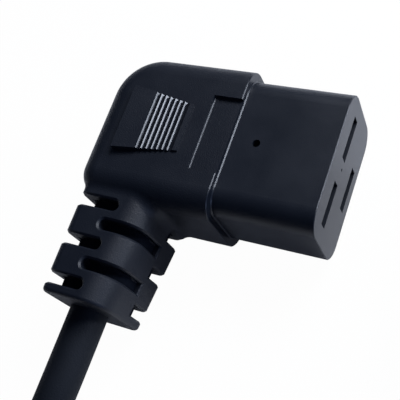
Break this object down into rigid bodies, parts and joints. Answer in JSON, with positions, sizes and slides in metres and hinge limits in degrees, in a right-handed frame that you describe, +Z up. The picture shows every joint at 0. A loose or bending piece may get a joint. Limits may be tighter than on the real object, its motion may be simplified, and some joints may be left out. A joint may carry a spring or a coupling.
{
  "type": "power cord",
  "caption": "Right-angled moulded power connector with a toothed thumb grip and slotted strain relief, on a round black lead that is coiled, tied and ended by a straight plug.",
  "frame": {"origin": "below the middle of the connector, on the surface it lies on", "axes": "+X out of the connector's mating face, -Y along the lead where it leaves the connector, +Z up from the surface"},
  "size_m": [0.102, 0.1778, 0.0228],
  "materials": {
    "moulded_pvc": "satin black PVC moulding",
    "insert_plastic": "satin black hard plastic",
    "sheath_pvc": "satin black PVC sheath",
    "tie_strap": "matt black woven strap",
    "contact_metal": "bare spring metal",
    "pin_metal": "plated metal",
    "brown_insulation": "brown PVC",
    "blue_insulation": "blue PVC",
    "green_insulation": "green and yellow PVC"
  },
  "bodies": {
    "root": {"connector_body": "moulded_pvc", "connector_insert": "insert_plastic", "contact_line": "contact_metal", "contact_neutral": "contact_metal", "contact_earth": "contact_metal", "core_line": "brown_insulation", "core_neutral": "blue_insulation", "core_earth": "green_insulation", "cord_lead": "sheath_pvc", "cord_coil": "sheath_pvc", "cord_tail": "sheath_pvc", "coil_tie": "tie_strap", "plug_body": "moulded_pvc", "plug_pin_carrier": "insert_plastic", "plug_pin_line": "pin_metal", "plug_pin_neutral": "pin_metal", "plug_pin_earth": "pin_metal", "plug_core_line": "brown_insulation", "plug_core_neutral": "blue_insulation", "plug_core_earth": "green_insulation"}
  },
  "joints": []
}
